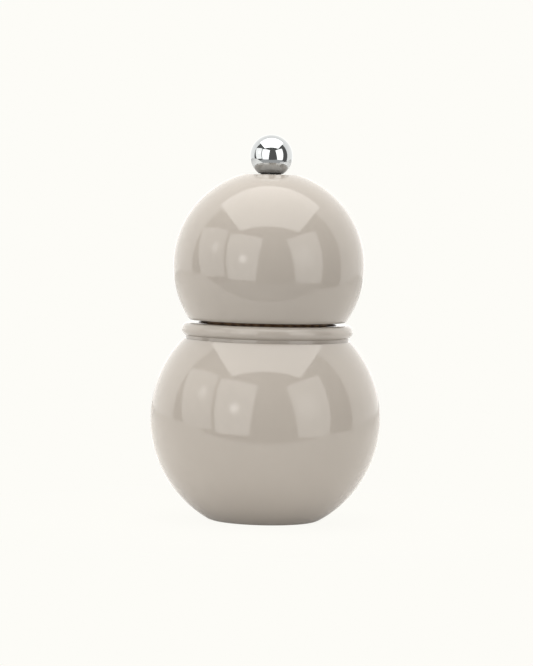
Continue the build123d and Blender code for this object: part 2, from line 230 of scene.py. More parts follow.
# %% Lacquer
def make_lacquer():
    material, shader, coordinates = start_material("greige_gloss_lacquer")
    clouds = noise(material, coordinates, 38.0, detail=3.0)
    tint = colours(material, clouds, [(0.30, (0.317, 0.288, 0.257)), (0.70, (0.330, 0.300, 0.268))])
    join(material, tint, shader.inputs["Base Color"])
    haze = noise(material, coordinates, 90.0, detail=4.0)
    join(material, spread(material, haze, 0.060, 0.090), shader.inputs["Roughness"])
    peel = noise(material, coordinates, 700.0, detail=1.0)
    wave = noise(material, coordinates, 120.0, detail=0.0)
    surface = bump(material, wave, 12e-6)
    join(material, bump(material, peel, 0.9e-6, under=surface), shader.inputs["Normal"])
    shader.inputs["IOR"].default_value = 1.5
    return material


lacquer = make_lacquer()

# %% [markdown]
# ## Bare wood
#
# The land under the head, the tenon, the mouth and the hopper are never lacquered. They are turned
# beech, darkened with oil. Growth rings run round the tree's heart, which is well off the turning axis,
# so a ring texture is centred to one side of the blank, and the pores are noise drawn out along the
# grain, which is the Z axis here.

# %% Bare wood
def make_bare_wood():
    material, shader, coordinates = start_material("oiled_beech")
    heart = add_node(material, "ShaderNodeMapping")
    heart.inputs["Location"].default_value = (0.055, 0.02, 0)
    heart.inputs["Scale"].default_value = (1, 1, 0.12)
    join(material, coordinates, heart.inputs["Vector"])
    rings = add_node(material, "ShaderNodeTexWave", wave_type="RINGS", rings_direction="Z")
    rings.inputs["Scale"].default_value = 105.0
    rings.inputs["Distortion"].default_value = 3.5
    rings.inputs["Detail"].default_value = 2.0
    rings.inputs["Detail Scale"].default_value = 0.6
    join(material, heart.outputs["Vector"], rings.inputs["Vector"])
    fibres = noise(material, stretched(material, coordinates, (1, 1, 0.05)), 1800.0, detail=4.0)
    mixed = add_node(material, "ShaderNodeMix", data_type="FLOAT")
    mixed.inputs["Factor"].default_value = 0.6
    join(material, rings.outputs["Fac"], mixed.inputs["A"])
    join(material, fibres, mixed.inputs["B"])
    grain = mixed.outputs["Result"]
    stops = [(0.2, (0.150, 0.072, 0.028)), (0.55, (0.255, 0.135, 0.055)), (0.85, (0.330, 0.190, 0.085))]
    join(material, colours(material, grain, stops), shader.inputs["Base Color"])
    join(material, spread(material, fibres, 0.48, 0.66), shader.inputs["Roughness"])
    join(material, bump(material, fibres, 25e-6), shader.inputs["Normal"])
    return material


bare_wood = make_bare_wood()

# %% [markdown]
# ## Metals
#
# The nut is polished and chromed, so it only needs a cool tint and the faintest polishing haze. The
# other steels show how they were made: the bar is drawn, so its lines run along it, the ring is brushed
# on a spindle, so its lines run round it, and the small screws and washers are tumbled in zinc, which
# leaves a soft cloudy shine. The washer under the nut is blackened, so it disappears in the nut's shade.

# %% Metals
def make_chrome():
    material, shader, coordinates = start_material("mirror_chrome")
    haze = noise(material, coordinates, 260.0, detail=4.0)
    tint = colours(material, haze, [(0.3, (0.480, 0.500, 0.512)), (0.7, (0.505, 0.525, 0.537))])
    join(material, tint, shader.inputs["Base Color"])
    join(material, spread(material, haze, 0.02, 0.045), shader.inputs["Roughness"])
    scratches = noise(material, stretched(material, coordinates, (1, 1, 6)), 2400.0, detail=2.0)
    join(material, bump(material, scratches, 0.15e-6), shader.inputs["Normal"])
    shader.inputs["Metallic"].default_value = 1.0
    return material


def make_brushed(name, brush_coordinates, low, high, tint):
    """Steel whose brushing lines follow the coordinates it is given."""
    material, shader, coordinates = start_material(name)
    lines = noise(material, brush_coordinates(material, coordinates), 1.0, detail=5.0, roughness=0.65)
    darker = tuple(0.82 * part for part in tint)
    join(material, colours(material, lines, [(0.3, darker), (0.7, tint)]), shader.inputs["Base Color"])
    join(material, spread(material, lines, low, high), shader.inputs["Roughness"])
    join(material, bump(material, lines, 4e-6), shader.inputs["Normal"])
    shader.inputs["Metallic"].default_value = 1.0
    return material


def along_z(material, coordinates):
    return stretched(material, coordinates, (9000, 9000, 90))


def along_x(material, coordinates):
    return stretched(material, coordinates, (120, 9000, 9000))


def round_z(material, coordinates):
    """Only the distance from the axis and a little height count, so lines close into circles."""
    combine = add_node(material, "ShaderNodeCombineXYZ")
    join(material, distance_from_axis(material, coordinates), combine.inputs["X"])
    return stretched(material, combine.outputs["Vector"], (9000, 1, 1))


def make_tumbled(name, dark, middle, light):
    """Small parts plated in a drum: cloudy colour, a soft shine and fine pits."""
    material, shader, coordinates = start_material(name)
    clouds = noise(material, coordinates, 900.0, detail=3.0)
    tint = colours(material, clouds, [(0.3, dark), (0.5, middle), (0.7, light)])
    join(material, tint, shader.inputs["Base Color"])
    join(material, spread(material, clouds, 0.22, 0.36), shader.inputs["Roughness"])
    pits = noise(material, coordinates, 5000.0, detail=2.0)
    join(material, bump(material, pits, 3e-6), shader.inputs["Normal"])
    shader.inputs["Metallic"].default_value = 1.0
    return material


chrome = make_chrome()
drawn_steel = make_brushed("drawn_steel", along_z, 0.22, 0.34, (0.66, 0.66, 0.67))
plate_steel = make_brushed("brushed_plate_steel", along_x, 0.26, 0.40, (0.64, 0.64, 0.65))
spun_steel = make_brushed("spun_steel", round_z, 0.20, 0.34, (0.70, 0.70, 0.71))
zinc = make_tumbled("bright_zinc", (0.560, 0.575, 0.590), (0.640, 0.645, 0.630), (0.690, 0.690, 0.700))
black_oxide = make_tumbled("black_oxide", (0.040, 0.040, 0.042), (0.055, 0.054, 0.052), (0.075, 0.073, 0.070))

# %% [markdown]
# ## Plastic and ceramic
#
# The housing is black glass-filled nylon with a spark-eroded mould texture. The burrs are fired alumina:
# a warm off-white with a satin sheen and darker specks, slightly stained in patches by pepper oil.

# %% Plastic and ceramic
def make_nylon():
    material, shader, coordinates = start_material("black_nylon")
    texture = noise(material, coordinates, 3200.0, detail=3.0)
    stops = [(0.3, (0.018, 0.017, 0.016)), (0.7, (0.030, 0.028, 0.026))]
    join(material, colours(material, texture, stops), shader.inputs["Base Color"])
    join(material, spread(material, texture, 0.42, 0.62), shader.inputs["Roughness"])
    join(material, bump(material, texture, 14e-6), shader.inputs["Normal"])
    return material


def make_ceramic():
    material, shader, coordinates = start_material("fired_ceramic")
    stain = noise(material, coordinates, 240.0, detail=5.0, roughness=0.6)
    stops = [(0.25, (0.620, 0.560, 0.460)), (0.45, (0.780, 0.750, 0.690)), (0.75, (0.830, 0.810, 0.770))]
    join(material, colours(material, stain, stops), shader.inputs["Base Color"])
    join(material, spread(material, stain, 0.50, 0.30), shader.inputs["Roughness"])
    grit = noise(material, coordinates, 6000.0, detail=2.0)
    join(material, bump(material, grit, 6e-6), shader.inputs["Normal"])
    return material


nylon = make_nylon()
ceramic = make_ceramic()

# %% [markdown]
# ## A lathe made of nodes
#
# The balls, the nut and the shaft are all made on a lathe, which is a rule: one outline, swept round an
# axis. The Screw modifier could sweep it, but it can't tell lacquered stretches from bare ones, and it
# can't cut a thread. A Geometry Nodes tree can do all three. It lays a flat grid, one column for each
# step round and one row for each outline point, and moves every grid point to its row's radius and
# height at its column's angle. Two cuts change the radius: a bar that was square before it was turned
# keeps its flats, and a threaded row sinks and rises with the helix. The seam and the poles close by
# merging, and the loose edge that a stretch along the axis leaves behind is deleted.

# %% Outline marks
PLAIN = 0
BARE = 1
THREADED = 2


# %% A maker for trees
class TreeMaker:
    """Adds nodes to a Geometry Nodes tree. A value may be a number or another node's output."""

    def __init__(self, name):
        self.tree = bpy.data.node_groups.new(name, "GeometryNodeTree")

    def socket(self, name, kind, in_out="INPUT"):
        self.tree.interface.new_socket(name, in_out=in_out, socket_type="NodeSocket" + kind)

    def node(self, kind, properties=None, **values):
        """A node with its properties and input values. In value names, _ stands for a space."""
        made = self.tree.nodes.new(kind)
        for name, value in (properties or {}).items():
            setattr(made, name, value)
        for name, value in values.items():
            self.put(value, made.inputs[name.replace("_", " ")])
        return made

    def put(self, value, socket):
        if isinstance(value, bpy.types.NodeSocket):
            self.tree.links.new(value, socket)
        else:
            socket.default_value = value

    def math(self, operation, *values):
        made = self.node("ShaderNodeMath", {"operation": operation})
        for socket, value in zip(made.inputs, values):
            self.put(value, socket)
        return made.outputs["Value"]


# %% The square bar's section
def square_section(make, angle, half, corner):
    """How far a rounded square reaches from its centre at an angle, built from maths nodes."""
    quarter = make.math("FLOORED_MODULO", make.math("ADD", angle, pi / 4), pi / 2)
    folded = make.math("ABSOLUTE", make.math("SUBTRACT", quarter, pi / 4))
    cosine = make.math("COSINE", folded)
    sine = make.math("SINE", folded)
    flat = make.math("DIVIDE", half, cosine)
    corner_centre = make.math("SUBTRACT", half, corner)
    nearest = make.math("MULTIPLY", corner_centre, make.math("ADD", cosine, sine))
    aside = make.math("MULTIPLY", corner_centre, make.math("SUBTRACT", cosine, sine))
    under_root = make.math("SUBTRACT", make.math("POWER", corner, 2), make.math("POWER", aside, 2))
    rounded = make.math("ADD", nearest, make.math("SQRT", make.math("MAXIMUM", under_root, 0)))
    along_side = make.math("MULTIPLY", flat, sine)
    in_corner = make.math("GREATER_THAN", along_side, corner_centre)
    difference = make.math("MULTIPLY", make.math("SUBTRACT", rounded, flat), in_corner)
    return make.math("ADD", flat, difference)


# %% The thread's depth
def thread_sink(make, angle, height, pitch, depth):
    """How deep a right-hand thread sinks at an angle and a height: flats at crest and root."""
    turns = make.math("SUBTRACT", make.math("DIVIDE", height, pitch), make.math("DIVIDE", angle, 2 * pi))
    phase = make.math("FRACT", turns)
    triangle = make.math("ABSOLUTE", make.math("SUBTRACT", make.math("MULTIPLY", phase, 2), 1))
    ridge = make.math("MULTIPLY_ADD", triangle, 1 + 2 * thread_flat_share, -thread_flat_share)
    ridge = make.math("MINIMUM", make.math("MAXIMUM", ridge, 0), 1)
    return make.math("MULTIPLY", depth, make.math("SUBTRACT", 1, ridge))


# %% The lathe tree
MERGE_DISTANCE = 0.001 * MM
SAME_WHOLE_NUMBER = 0.5


def lathe_tree():
    """Geometry in: an outline in the XZ plane. Geometry out: the closed skin swept round Z."""
    make = TreeMaker("lathe")
    make.socket("Outline", "Geometry")
    make.socket("Steps", "Int")
    make.socket("Square Half Width", "Float")
    make.socket("Square Corner Round", "Float")
    make.socket("Thread Pitch", "Float")
    make.socket("Thread Depth", "Float")
    make.socket("Finish", "Material")
    make.socket("Bare Finish", "Material")
    make.socket("Geometry", "Geometry", "OUTPUT")
    given = make.node("NodeGroupInput").outputs

    rows = make.node("GeometryNodeAttributeDomainSize", {"component": "MESH"}, Geometry=given["Outline"])
    row_count = rows.outputs["Point Count"]
    columns = make.math("ADD", given["Steps"], 1)
    grid = make.node("GeometryNodeMeshGrid", Vertices_X=columns, Vertices_Y=row_count)
    index = make.node("GeometryNodeInputIndex").outputs["Index"]
    column = make.math("FLOOR", make.math("DIVIDE", make.math("ADD", index, 0.5), row_count))
    row = make.math("SUBTRACT", index, make.math("MULTIPLY", column, row_count))
    angle = make.math("DIVIDE", make.math("MULTIPLY", column, 2 * pi), given["Steps"])

    def from_row(kind, value):
        sample = make.node(
            "GeometryNodeSampleIndex",
            {"data_type": kind, "domain": "POINT"},
            Geometry=given["Outline"],
            Value=value,
            Index=row,
        )
        return sample.outputs["Value"]

    mark = make.node("GeometryNodeInputNamedAttribute", {"data_type": "INT"}, Name="mark")
    row_mark = from_row("INT", mark.outputs["Attribute"])
    position = make.node("GeometryNodeInputPosition").outputs["Position"]
    place = make.node("ShaderNodeSeparateXYZ", Vector=from_row("FLOAT_VECTOR", position)).outputs
    square = square_section(make, angle, given["Square Half Width"], given["Square Corner Round"])
    turned_radius = make.math("MINIMUM", place["X"], square)
    sink = thread_sink(make, angle, place["Z"], given["Thread Pitch"], given["Thread Depth"])
    threaded_row = make.math("COMPARE", row_mark, THREADED, SAME_WHOLE_NUMBER)
    radius = make.math("SUBTRACT", turned_radius, make.math("MULTIPLY", sink, threaded_row))
    across = make.math("MULTIPLY", radius, make.math("COSINE", angle))
    back = make.math("MULTIPLY", radius, make.math("SINE", angle))
    target = make.node("ShaderNodeCombineXYZ", X=across, Y=back, Z=place["Z"]).outputs["Vector"]

    bare_row = make.math("COMPARE", row_mark, BARE, SAME_WHOLE_NUMBER)
    keep = make.node(
        "GeometryNodeStoreNamedAttribute",
        {"data_type": "BOOLEAN", "domain": "POINT"},
        Name="bare",
        Geometry=grid.outputs["Mesh"],
        Value=bare_row,
    )
    moved = make.node("GeometryNodeSetPosition", Geometry=keep.outputs["Geometry"], Position=target)
    merged = make.node(
        "GeometryNodeMergeByDistance", Geometry=moved.outputs["Geometry"], Distance=MERGE_DISTANCE
    )
    faces_beside = make.node("GeometryNodeInputMeshEdgeNeighbors").outputs["Face Count"]
    on_axis = make.math("COMPARE", faces_beside, 0, SAME_WHOLE_NUMBER)
    cleaned = make.node(
        "GeometryNodeDeleteGeometry",
        {"domain": "EDGE", "mode": "EDGE_FACE"},
        Geometry=merged.outputs["Geometry"],
        Selection=on_axis,
    )
    smooth = make.node("GeometryNodeSetShadeSmooth", Geometry=cleaned.outputs["Geometry"])
    real = make.node("GeometryNodeRealizeInstances", Geometry=smooth.outputs["Geometry"])
    finished = make.node(
        "GeometryNodeSetMaterial", Geometry=real.outputs["Geometry"], Material=given["Finish"]
    )
    bare = make.node("GeometryNodeInputNamedAttribute", {"data_type": "BOOLEAN"}, Name="bare")
    both = make.node(
        "GeometryNodeSetMaterial",
        Geometry=finished.outputs["Geometry"],
        Selection=bare.outputs["Attribute"],
        Material=given["Bare Finish"],
    )
    make.node("NodeGroupOutput", Geometry=both.outputs["Geometry"])
    return make.tree


lathe = lathe_tree()

# %% [markdown]
# ## Using a tree
#
# A modifier's inputs are set by their identifiers before the object is first evaluated. The evaluated
# result is then copied to a plain mesh, and the object with the live modifier is thrown away, because
# everything after this needs real vertices. Edges sharper than the limit are marked, so that a fillet
# shades round and a corner stays crisp.

# %% Using a tree
SHARP_ANGLE = radians(32)


def run_tree(name, tree, start_mesh, settings):
    """Runs a tree on a mesh and returns a plain object with the result."""
    holder = bpy.data.objects.new(name + "_holder", start_mesh)
    bpy.context.scene.collection.objects.link(holder)
    modifier = holder.modifiers.new("made", "NODES")
    modifier.node_group = tree
    for item in tree.interface.items_tree:
        if item.in_out == "INPUT" and item.name in settings:
            modifier[item.identifier] = settings[item.name]
    evaluated = holder.evaluated_get(bpy.context.evaluated_depsgraph_get())
    mesh = bpy.data.meshes.new_from_object(evaluated)
    mesh.name = name
    bpy.data.objects.remove(holder)
    mesh.set_sharp_from_angle(angle=SHARP_ANGLE)
    piece = bpy.data.objects.new(name, mesh)
    bpy.context.scene.collection.objects.link(piece)
    print("%s: %d faces" % (name, len(mesh.polygons)))
    return piece


# %% [markdown]
# ## Outlines
#
# An outline is a list of (radius, height, mark) points, walked with the material on the left, so that
# the swept faces point outwards. Straight stretches need only their ends. Round stretches are sampled from
# their circle. The fillet between a ball and a flat is the circle that touches both.

# %% Outlines
ARC_STEP = radians(2.0)
ROWS_PER_PITCH = 10


def arc(centre, radius, start, end):
    """Points on a circle between two angles, which are measured from the outward direction."""
    steps = max(2, ceil(abs(end - start) / ARC_STEP))
    turned = [start + (end - start) * step / steps for step in range(steps + 1)]
    return [(centre[0] + radius * cos(a), centre[1] + radius * sin(a), PLAIN) for a in turned]


def threaded(radius, start, end):
    """Rows close enough together to carry the thread, from one height to another."""
    steps = ceil(abs(end - start) / thread_pitch * ROWS_PER_PITCH)
    return [(radius, start + (end - start) * step / steps, THREADED) for step in range(steps + 1)]


def circle_angle(ball_radius, ball_height, height):
    """Angle on a ball's outline where it reaches a height."""
    return asin((height - ball_height) / ball_radius)


def plane_fillet(ball_radius, ball_height, height, fillet, above):
    """Fillet between a ball and the flat that cuts it.

    above is True where the flat is the top of the solid, and False where it is the underside. Returns
    the fillet's centre and the two angles where it meets the ball and the flat."""
    side = -1 if above else 1
    centre_height = height + side * fillet
    reach = ball_radius - fillet
    centre = (sqrt(reach**2 - (centre_height - ball_height) ** 2), centre_height)
    ball_angle = asin((centre_height - ball_height) / reach)
    flat_angle = radians(90) if above else radians(-90)
    return centre, ball_angle, flat_angle


def outline_mesh(name, points):
    """The closed outline as a chain of edges, its first point repeated at the end."""
    closed = points + [points[0]]
    mesh = bpy.data.meshes.new(name + "_outline")
    vertices = [(radius, 0, height) for radius, height, mark in closed]
    mesh.from_pydata(vertices, [(i, i + 1) for i in range(len(closed) - 1)], [])
    marks = mesh.attributes.new("mark", "INT", "POINT")
    for stored, (radius, height, mark) in zip(marks.data, closed):
        stored.value = mark
    return mesh


# %% [markdown]
# ## The lower ball
#
# One blank gives the ball, a short neck, the bead that the hand's edge rests on, and inside it the
# hopper with its funnel. The lacquer runs over the bead and stops three millimetres further in, on the
# collar's flat top. Underneath, it stops at the edge of the recess.

# %% The lower ball
BALL_STEPS = 200


def body_outline():
    bead_height = collar_top - bead_radius
    bead_foot = bead_height - sqrt(bead_radius**2 - (neck_radius - bead_ring_radius) ** 2)
    bead_foot_angle = -asin((bead_height - bead_foot) / bead_radius)
    shoulder_angle = circle_angle(body_ball_radius, body_ball_height, ball_shoulder)
    centre, ball_angle, flat_angle = plane_fillet(
        body_ball_radius, body_ball_height, 0, base_edge_round, above=False
    )
    funnel_top = funnel_foot + (mouth_radius - grinder_bore_radius)
    points = [(recess_radius, 0, PLAIN)]
    points += arc(centre, base_edge_round, flat_angle, ball_angle)
    points += arc((0, body_ball_height), body_ball_radius, ball_angle, shoulder_angle)[1:]
    points += [(neck_radius, ball_shoulder, PLAIN)]
    points += arc((bead_ring_radius, bead_height), bead_radius, bead_foot_angle, radians(90))
    points += [
        (collar_lacquer_edge_radius, collar_top, PLAIN),
        (collar_lacquer_edge_radius, collar_top, BARE),
        (mouth_radius + mouth_chamfer, collar_top, BARE),
        (mouth_radius, collar_top - mouth_chamfer, BARE),
        (mouth_radius, funnel_top, BARE),
        (grinder_bore_radius, funnel_foot, BARE),
        (grinder_bore_radius, recess_depth, BARE),
        (recess_radius, recess_depth, BARE),
        (recess_radius, 0, BARE),
    ]
    return points


def turned(name, outline, steps, finish, bare_finish, square=1.0, corner_round=0.0):
    """Sweeps an outline round the axis on the lathe tree. A square that is wider than the piece, as it
    is unless stated, leaves the piece round."""
    settings = {
        "Steps": steps,
        "Square Half Width": square / 2,
        "Square Corner Round": corner_round,
        "Thread Pitch": thread_pitch,
        "Thread Depth": thread_depth,
        "Finish": finish,
        "Bare Finish": bare_finish,
    }
    return run_tree(name, lathe, outline_mesh(name, outline), settings)


body_skin = turned("body_skin", body_outline(), BALL_STEPS, lacquer, bare_wood)
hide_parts("body")
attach(body_skin, "mill_body")

# %% [markdown]
# ## The head
#
# The upper ball is cut flat on top for the nut and underneath for the collar. A low bare land carries
# it on the collar, which leaves the thin dark line between the two balls, and the tenon below centres it
# in the mouth.

# %% The head
def head_outline():
    top_centre, top_ball_angle, top_flat_angle = plane_fillet(
        head_ball_radius, head_ball_height, head_top, head_top_round, above=True
    )
    low_centre, low_ball_angle, low_flat_angle = plane_fillet(
        head_ball_radius, head_ball_height, head_underside, head_under_round, above=False
    )
    points = arc(low_centre, head_under_round, low_flat_angle, low_ball_angle)
    points += arc((0, head_ball_height), head_ball_radius, low_ball_angle, top_ball_angle)[1:]
    points += arc(top_centre, head_top_round, top_ball_angle, top_flat_angle)[1:]
    points += [
        (shaft_bore_radius, head_top, PLAIN),
        (shaft_bore_radius, head_top, BARE),
        (shaft_bore_radius, tenon_end, BARE),
        (tenon_radius - tenon_chamfer, tenon_end, BARE),
        (tenon_radius, tenon_end + tenon_chamfer, BARE),
        (tenon_radius, collar_top, BARE),
        (head_land_radius, collar_top, BARE),
        (head_land_radius, head_underside, BARE),
        (head_lacquer_edge_radius, head_underside, BARE),
        (head_lacquer_edge_radius, head_underside, PLAIN),
    ]
    return points


head_skin = turned("head_skin", head_outline(), BALL_STEPS, lacquer, bare_wood)
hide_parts("head")
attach(head_skin, "head")

# %% [markdown]
# ## The ball nut
#
# The nut is a ball with a small flat seat and a blind threaded hole, drilled to a point. In a mirror the
# shape is everything, so it gets more steps round than its size would suggest.

# %% The ball nut
NUT_STEPS = 128


def nut_outline():
    nut_height = nut_high.z - nut_radius
    centre, ball_angle, flat_angle = plane_fillet(
        nut_radius, nut_height, nut_seat, nut_edge_round, above=False
    )
    points = arc(centre, nut_edge_round, flat_angle, ball_angle)
    points += arc((0, nut_height), nut_radius, ball_angle, radians(90))[1:]
    points += [
        (0, nut_seat + nut_hole_depth + nut_drill_point, PLAIN),
        (nut_hole_radius, nut_seat + nut_hole_depth, PLAIN),
    ]
    points += threaded(nut_hole_radius, nut_seat + nut_hole_depth, nut_seat)
    return points


nut_skin = turned("ball_nut_skin", nut_outline(), NUT_STEPS, chrome, chrome)
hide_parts("ball_nut")
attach(nut_skin, "ball_nut")

# %% [markdown]
# ## The shaft
#
# The shaft is a square drawn bar, so that the rotor and the head's plate can't slip on it. Its top is
# turned down, relieved for a moment and threaded for the nut. A shallow groove near the grinder holds
# the clip, and only nicks the bar's corners. The foot is drilled for the rotor's screw.

# %% The shaft
SHAFT_STEPS = 144


def shaft_outline():
    """The bar's stretches are drawn wider than its corners, and the square section cuts them back."""
    beyond_corners = shaft_square
    groove_top = clip_groove_foot + clip_groove_height
    hole_top = shaft_foot + foot_hole_depth
    points = [
        (foot_hole_radius, shaft_foot, PLAIN),
        (beyond_corners, shaft_foot, PLAIN),
        (beyond_corners, clip_groove_foot, PLAIN),
        (clip_groove_radius, clip_groove_foot, PLAIN),
        (clip_groove_radius, groove_top, PLAIN),
        (beyond_corners, groove_top, PLAIN),
        (beyond_corners, thread_start, PLAIN),
        (thread_radius - thread_depth, thread_start, PLAIN),
        (thread_radius - thread_depth, thread_start + relief_height, PLAIN),
    ]
    points += threaded(thread_radius, thread_start + relief_height, shaft_top - shaft_end_chamfer)
    points += [
        (thread_radius - shaft_end_chamfer, shaft_top, PLAIN),
        (0, shaft_top, PLAIN),
        (0, hole_top, PLAIN),
        (foot_hole_radius, hole_top, PLAIN),
    ]
    return points


shaft_skin = turned(
    "shaft_skin",
    shaft_outline(),
    SHAFT_STEPS,
    drawn_steel,
    drawn_steel,
    square=shaft_square,
    corner_round=shaft_corner_round,
)
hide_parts("shaft")
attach(shaft_skin, "spindle")

# %% [markdown]
# ## The spring
#
# The spring between the rotor and the bridge is a round wire that follows a helix, so a tree lays the
# helix as a curve and draws the wire along it. When the shaft rises, the real coil closes up against
# the bridge. The skin is attached to the spring pack, where the CAD spring was.

# %% The coil tree
COIL_STEPS = 72
WIRE_STEPS = 14


def coil_tree():
    """A capped round wire along a helix that starts at the height Foot."""
    make = TreeMaker("coil")
    make.socket("Turns", "Float")
    make.socket("Coil Radius", "Float")
    make.socket("Wire Radius", "Float")
    make.socket("Foot", "Float")
    make.socket("Rise", "Float")
    make.socket("Finish", "Material")
    make.socket("Geometry", "Geometry", "OUTPUT")
    given = make.node("NodeGroupInput").outputs
    helix = make.node(
        "GeometryNodeCurveSpiral",
        Resolution=COIL_STEPS,
        Rotations=given["Turns"],
        Start_Radius=given["Coil Radius"],
        End_Radius=given["Coil Radius"],
        Height=given["Rise"],
        Reverse=True,
    )
    section = make.node(
        "GeometryNodeCurvePrimitiveCircle", Resolution=WIRE_STEPS, Radius=given["Wire Radius"]
    )
    wire = make.node(
        "GeometryNodeCurveToMesh",
        Curve=helix.outputs["Curve"],
        Profile_Curve=section.outputs["Curve"],
        Fill_Caps=True,
    )
    lift = make.node("ShaderNodeCombineXYZ", Z=given["Foot"]).outputs["Vector"]
    raised = make.node("GeometryNodeTransform", Geometry=wire.outputs["Mesh"], Translation=lift)
    smooth = make.node("GeometryNodeSetShadeSmooth", Geometry=raised.outputs["Geometry"])
    real = make.node("GeometryNodeRealizeInstances", Geometry=smooth.outputs["Geometry"])
    finished = make.node(
        "GeometryNodeSetMaterial", Geometry=real.outputs["Geometry"], Material=given["Finish"]
    )
    make.node("NodeGroupOutput", Geometry=finished.outputs["Geometry"])
    return make.tree


# %% The spring
def make_spring():
    settings = {
        "Turns": spring_turns,
        "Coil Radius": spring_high.x - spring_wire_radius,
        "Wire Radius": spring_wire_radius,
        "Foot": spring_low.z + spring_wire_radius,
        "Rise": spring_high.z - spring_low.z - 2 * spring_wire_radius,
        "Finish": drawn_steel,
    }
    skin = run_tree("spring_skin", coil_tree(), bpy.data.meshes.new("spring_start"), settings)
    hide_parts("spring")
    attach(skin, "spring_pack")
    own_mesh(skin)


make_spring()

# %% [markdown]
# ## Finishes on the pieces that keep their CAD shape
#
# The small pieces are already right, down to their teeth and cross recesses. They only need their
# finish, which goes in their material slots.

# %% Finishes for CAD pieces
FINISHES = {
    "nut_washer": black_oxide,
    "shaft_clip": zinc,
    "drive_plate": plate_steel,
    "drive_plate_screws": zinc,
    "grinder_housing": nylon,
    "retaining_ring": spun_steel,
    "retaining_ring_screws": zinc,
    "stator": ceramic,
    "rotor": ceramic,
    "rotor_hub": nylon,
    "rotor_washer": zinc,
    "rotor_screw": zinc,
    "grinder_bridge": nylon,
    "lower_spring_washer": zinc,
    "upper_spring_washer": zinc,
}

for node_name, finish in FINISHES.items():
    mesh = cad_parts[node_name].data
    mesh.materials.clear()
    mesh.materials.append(finish)
print("finished %d CAD pieces" % len(FINISHES))

# %% [markdown]
# ## The studio
#
# Gloss shows whatever stands round it, so the studio is part of the finish. It is a small product set:
# a large soft light hangs overhead, two tall lights stand to the left and one to the right of the
# camera, a white sweep curves round the back, and the table ends just in front of the mill. What is left
# is a dark room. Every light is a plain emissive card. All but the floor is hidden from the camera, and
# shows only in the lacquer and the chrome.

# %% Studio helpers
AIM = Vector((0, 0, 0.055))


def towards(azimuth, elevation, distance):
    """A point seen from the mill in that direction. Azimuth 0 faces the camera, 90 is to the right."""
    turn, rise = radians(azimuth), radians(elevation)
    direction = Vector((sin(turn) * cos(rise), -cos(turn) * cos(rise), sin(rise)))
    return AIM + direction * distance


def on_card(corners, azimuth, elevation):
    """The point of a card that is seen from the mill in that direction."""
    normal = (corners[1] - corners[0]).cross(corners[3] - corners[0])
    ray = towards(azimuth, elevation, 1.0) - AIM
    return AIM + ray * (corners[0] - AIM).dot(normal) / ray.dot(normal)


def glow(name, colour, strength, hot_point=None, hot_radius=0.1, hot_strength=0.0):
    """An emissive finish, brighter round one point where the lamp sits behind the cloth."""
    material = bpy.data.materials.new(name)
    material.use_nodes = True
    material.node_tree.nodes.clear()
    emission = add_node(material, "ShaderNodeEmission")
    emission.inputs["Color"].default_value = (*colour, 1.0)
    emission.inputs["Strength"].default_value = strength
    output = add_node(material, "ShaderNodeOutputMaterial")
    join(material, emission.outputs["Emission"], output.inputs["Surface"])
    if hot_point is not None:
        place = add_node(material, "ShaderNodeNewGeometry").outputs["Position"]
        apart = add_node(material, "ShaderNodeVectorMath", operation="DISTANCE")
        apart.inputs[1].default_value = hot_point
        join(material, place, apart.inputs[0])
        fall = add_node(material, "ShaderNodeMapRange", interpolation_type="SMOOTHERSTEP")
        fall.inputs["From Min"].default_value = hot_radius
        fall.inputs["From Max"].default_value = 0.0
        fall.inputs["To Min"].default_value = strength
        fall.inputs["To Max"].default_value = strength + hot_strength
        join(material, apart.outputs["Value"], fall.inputs["Value"])
        join(material, fall.outputs["Result"], emission.inputs["Strength"])
    return material


def level_corners(half_width, front, back, height):
    """The corners of a level rectangle, whose front edge is the one nearer the camera."""
    return [
        (-half_width, front, height),
        (half_width, front, height),
        (half_width, back, height),
        (-half_width, back, height),
    ]


def card(name, corners, material, camera=False):
    """A staged flat card between its corners."""
    mesh = bpy.data.meshes.new(name)
    mesh.from_pydata([tuple(corner) for corner in corners], [], [tuple(range(len(corners)))])
    mesh.materials.append(material)
    flat = bpy.data.objects.new(name, mesh)
    bpy.context.scene.collection.objects.link(flat)
    flat.visible_camera = camera
    return flat


# %% The lights
DAYLIGHT = (1.0, 0.985, 0.955)

overhead_height = 0.68
overhead_glow = glow(
    "overhead_glow",
    DAYLIGHT,
    strength=3.3,
    hot_point=(0.0, 0.05, overhead_height),
    hot_radius=0.35,
    hot_strength=0.35,
)
overhead_corners = level_corners(half_width=0.50, front=-0.53, back=0.23, height=overhead_height)
card("overhead_light", overhead_corners, overhead_glow)


def standing_light(name, distance, corners_seen, strength, hot_seen, hot_radius, hot_strength):
    """A light card. Its corners and its hot spot are (azimuth, elevation) as seen from the mill."""
    corners = [towards(azimuth, elevation, distance) for azimuth, elevation in corners_seen]
    hot_point = on_card(corners, *hot_seen)
    card(name, corners, glow(name + "_glow", DAYLIGHT, strength, hot_point, hot_radius, hot_strength))


standing_light(
    "near_left_light",
    distance=0.75,
    corners_seen=[(-55, 35.5), (-9, 34.5), (-15.3, -14), (-49, -11.7)],
    strength=2.4,
    hot_seen=(-31, 10.7),
    hot_radius=0.09,
    hot_strength=3.8,
)
standing_light(
    "far_left_light",
    distance=0.80,
    corners_seen=[(-103, 30), (-60, 38), (-53, -9), (-86, -8)],
    strength=1.8,
    hot_seen=(-70, 19.5),
    hot_radius=0.11,
    hot_strength=2.4,
)
standing_light(
    "right_light",
    distance=0.75,
    corners_seen=[(23, 33.5), (68, 38), (65.8, -13), (33, -14.5)],
    strength=2.2,
    hot_seen=(42, 14),
    hot_radius=0.25,
    hot_strength=0.9,
)

